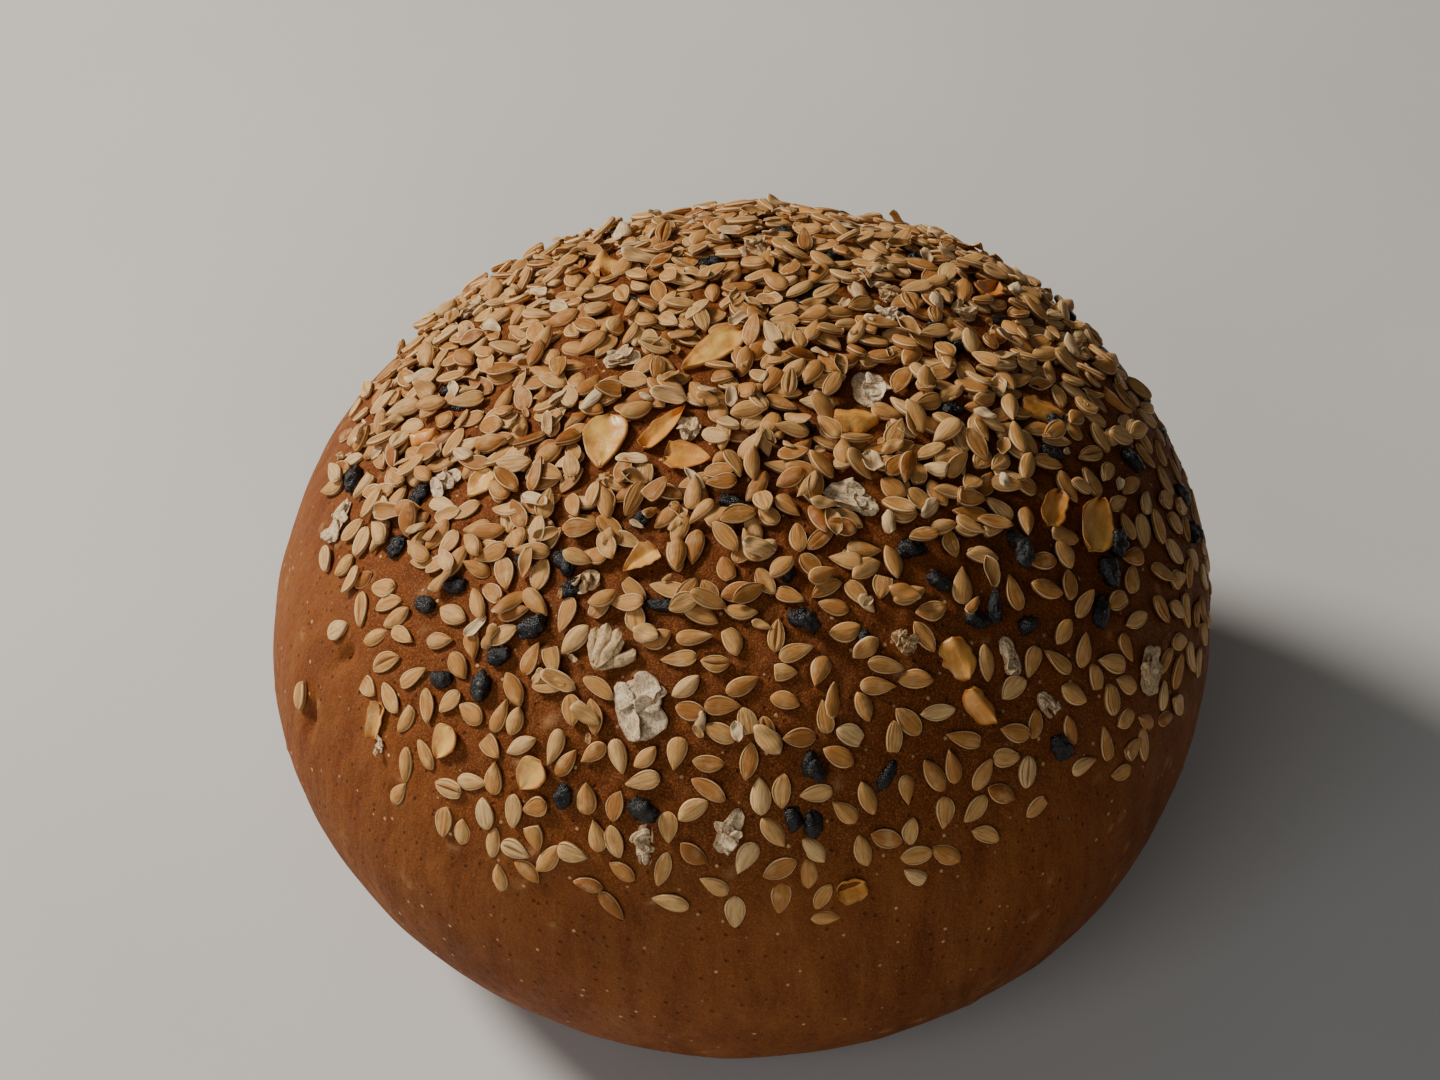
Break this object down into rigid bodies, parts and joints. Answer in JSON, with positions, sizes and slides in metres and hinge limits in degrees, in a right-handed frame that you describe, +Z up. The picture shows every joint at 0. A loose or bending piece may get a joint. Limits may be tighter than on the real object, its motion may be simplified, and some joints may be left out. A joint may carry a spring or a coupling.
{
  "type": "seeded bread roll",
  "caption": "Round baked bread roll with a domed top covered in seeds and dried flakes, resting on a small flat base.",
  "frame": {"origin": "on the resting surface, at the centre of the roll's flat base", "axes": "+Z up, from the base to the crown; +X to the right and -Y to the front, the side that the camera looks at"},
  "size_m": [0.0925, 0.0931, 0.0616],
  "materials": {
    "crust": "satin",
    "sesame": "satin",
    "black_seed": "satin",
    "garlic": "satin",
    "onion": "matte"
  },
  "bodies": {
    "root": {"black_seed_01": "black_seed", "black_seed_02": "black_seed", "black_seed_03": "black_seed", "black_seed_04": "black_seed", "black_seed_05": "black_seed", "black_seed_06": "black_seed", "black_seed_07": "black_seed", "black_seed_08": "black_seed", "black_seed_09": "black_seed", "black_seed_10": "black_seed", "black_seed_11": "black_seed", "black_seed_12": "black_seed", "black_seed_13": "black_seed", "black_seed_14": "black_seed", "black_seed_15": "black_seed", "black_seed_16": "black_seed", "black_seed_17": "black_seed", "black_seed_18": "black_seed", "black_seed_19": "black_seed", "black_seed_20": "black_seed", "black_seed_21": "black_seed", "garlic_flake_01": "garlic", "garlic_flake_02": "garlic", "garlic_flake_03": "garlic", "garlic_flake_04": "garlic", "garlic_flake_05": "garlic", "garlic_flake_06": "garlic", "garlic_flake_07": "garlic", "garlic_flake_08": "garlic", "garlic_flake_09": "garlic", "garlic_flake_10": "garlic", "garlic_flake_11": "garlic", "garlic_flake_12": "garlic", "garlic_flake_13": "garlic", "garlic_flake_14": "garlic", "loaf": "crust", "onion_flake_01": "onion", "onion_flake_02": "onion", "onion_flake_03": "onion", "onion_flake_04": "onion", "onion_flake_05": "onion", "onion_flake_06": "onion", "onion_flake_07": "onion", "onion_flake_08": "onion", "onion_flake_09": "onion", "onion_flake_10": "onion", "onion_flake_11": "onion", "sesame_seed_01": "sesame", "sesame_seed_02": "sesame", "sesame_seed_03": "sesame", "sesame_seed_04": "sesame", "sesame_seed_05": "sesame", "sesame_seed_06": "sesame", "sesame_seed_07": "sesame", "sesame_seed_08": "sesame", "sesame_seed_09": "sesame", "sesame_seed_10": "sesame", "sesame_seed_11": "sesame", "sesame_seed_12": "sesame", "sesame_seed_13": "sesame"}
  },
  "joints": []
}
